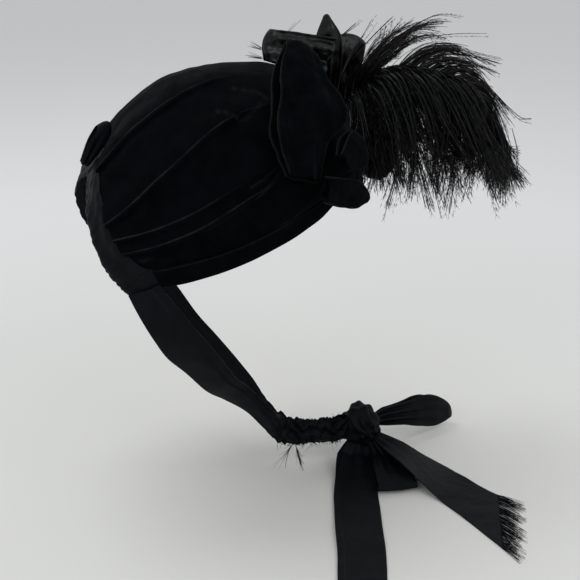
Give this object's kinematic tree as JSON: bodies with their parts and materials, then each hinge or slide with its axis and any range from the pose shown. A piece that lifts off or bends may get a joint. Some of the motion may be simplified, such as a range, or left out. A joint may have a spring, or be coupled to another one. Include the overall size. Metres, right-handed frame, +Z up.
{
  "type": "mourning bonnet",
  "caption": "Draped velvet bonnet with a narrow brim band, velvet and satin bow, ostrich plume and ribbon ties knotted in a bow under the chin.",
  "frame": {"origin": "inside top of the crown, where it bears on the head", "axes": "+X towards the wearer's front, +Y towards the wearer's left, +Z up"},
  "size_m": [0.3066, 0.2392, 0.3109],
  "materials": {
    "black_velvet": "silk velvet, deep matt black with a soft greenish grey sheen where it faces the light",
    "black_faille_ribbon": "ribbed faille ribbon, low lustre, slightly blue black",
    "black_satin": "satin, glossy along its folds",
    "black_ostrich": "dyed ostrich feather, fine matt barbs, brownish where thin"
  },
  "bodies": {
    "root": {"crown": "black_velvet", "brim_band": "black_velvet", "back_binding": "black_faille_ribbon", "back_ribbon_loop": "black_faille_ribbon", "velvet_loop_main": "black_velvet", "velvet_loop_front": "black_velvet", "velvet_lobe_low": "black_velvet", "velvet_loop_left": "black_velvet", "satin_loop_back": "black_satin", "satin_peak": "black_satin", "satin_loop_front": "black_satin", "tie_right": "black_faille_ribbon", "tie_left": "black_faille_ribbon", "chin_knot": "black_faille_ribbon", "bow_loop_upper": "black_faille_ribbon", "bow_loop_lower": "black_faille_ribbon", "tail_long": "black_faille_ribbon", "tail_frayed": "black_faille_ribbon", "plume_main": "black_ostrich", "plume_upper": "black_ostrich"}
  },
  "joints": []
}
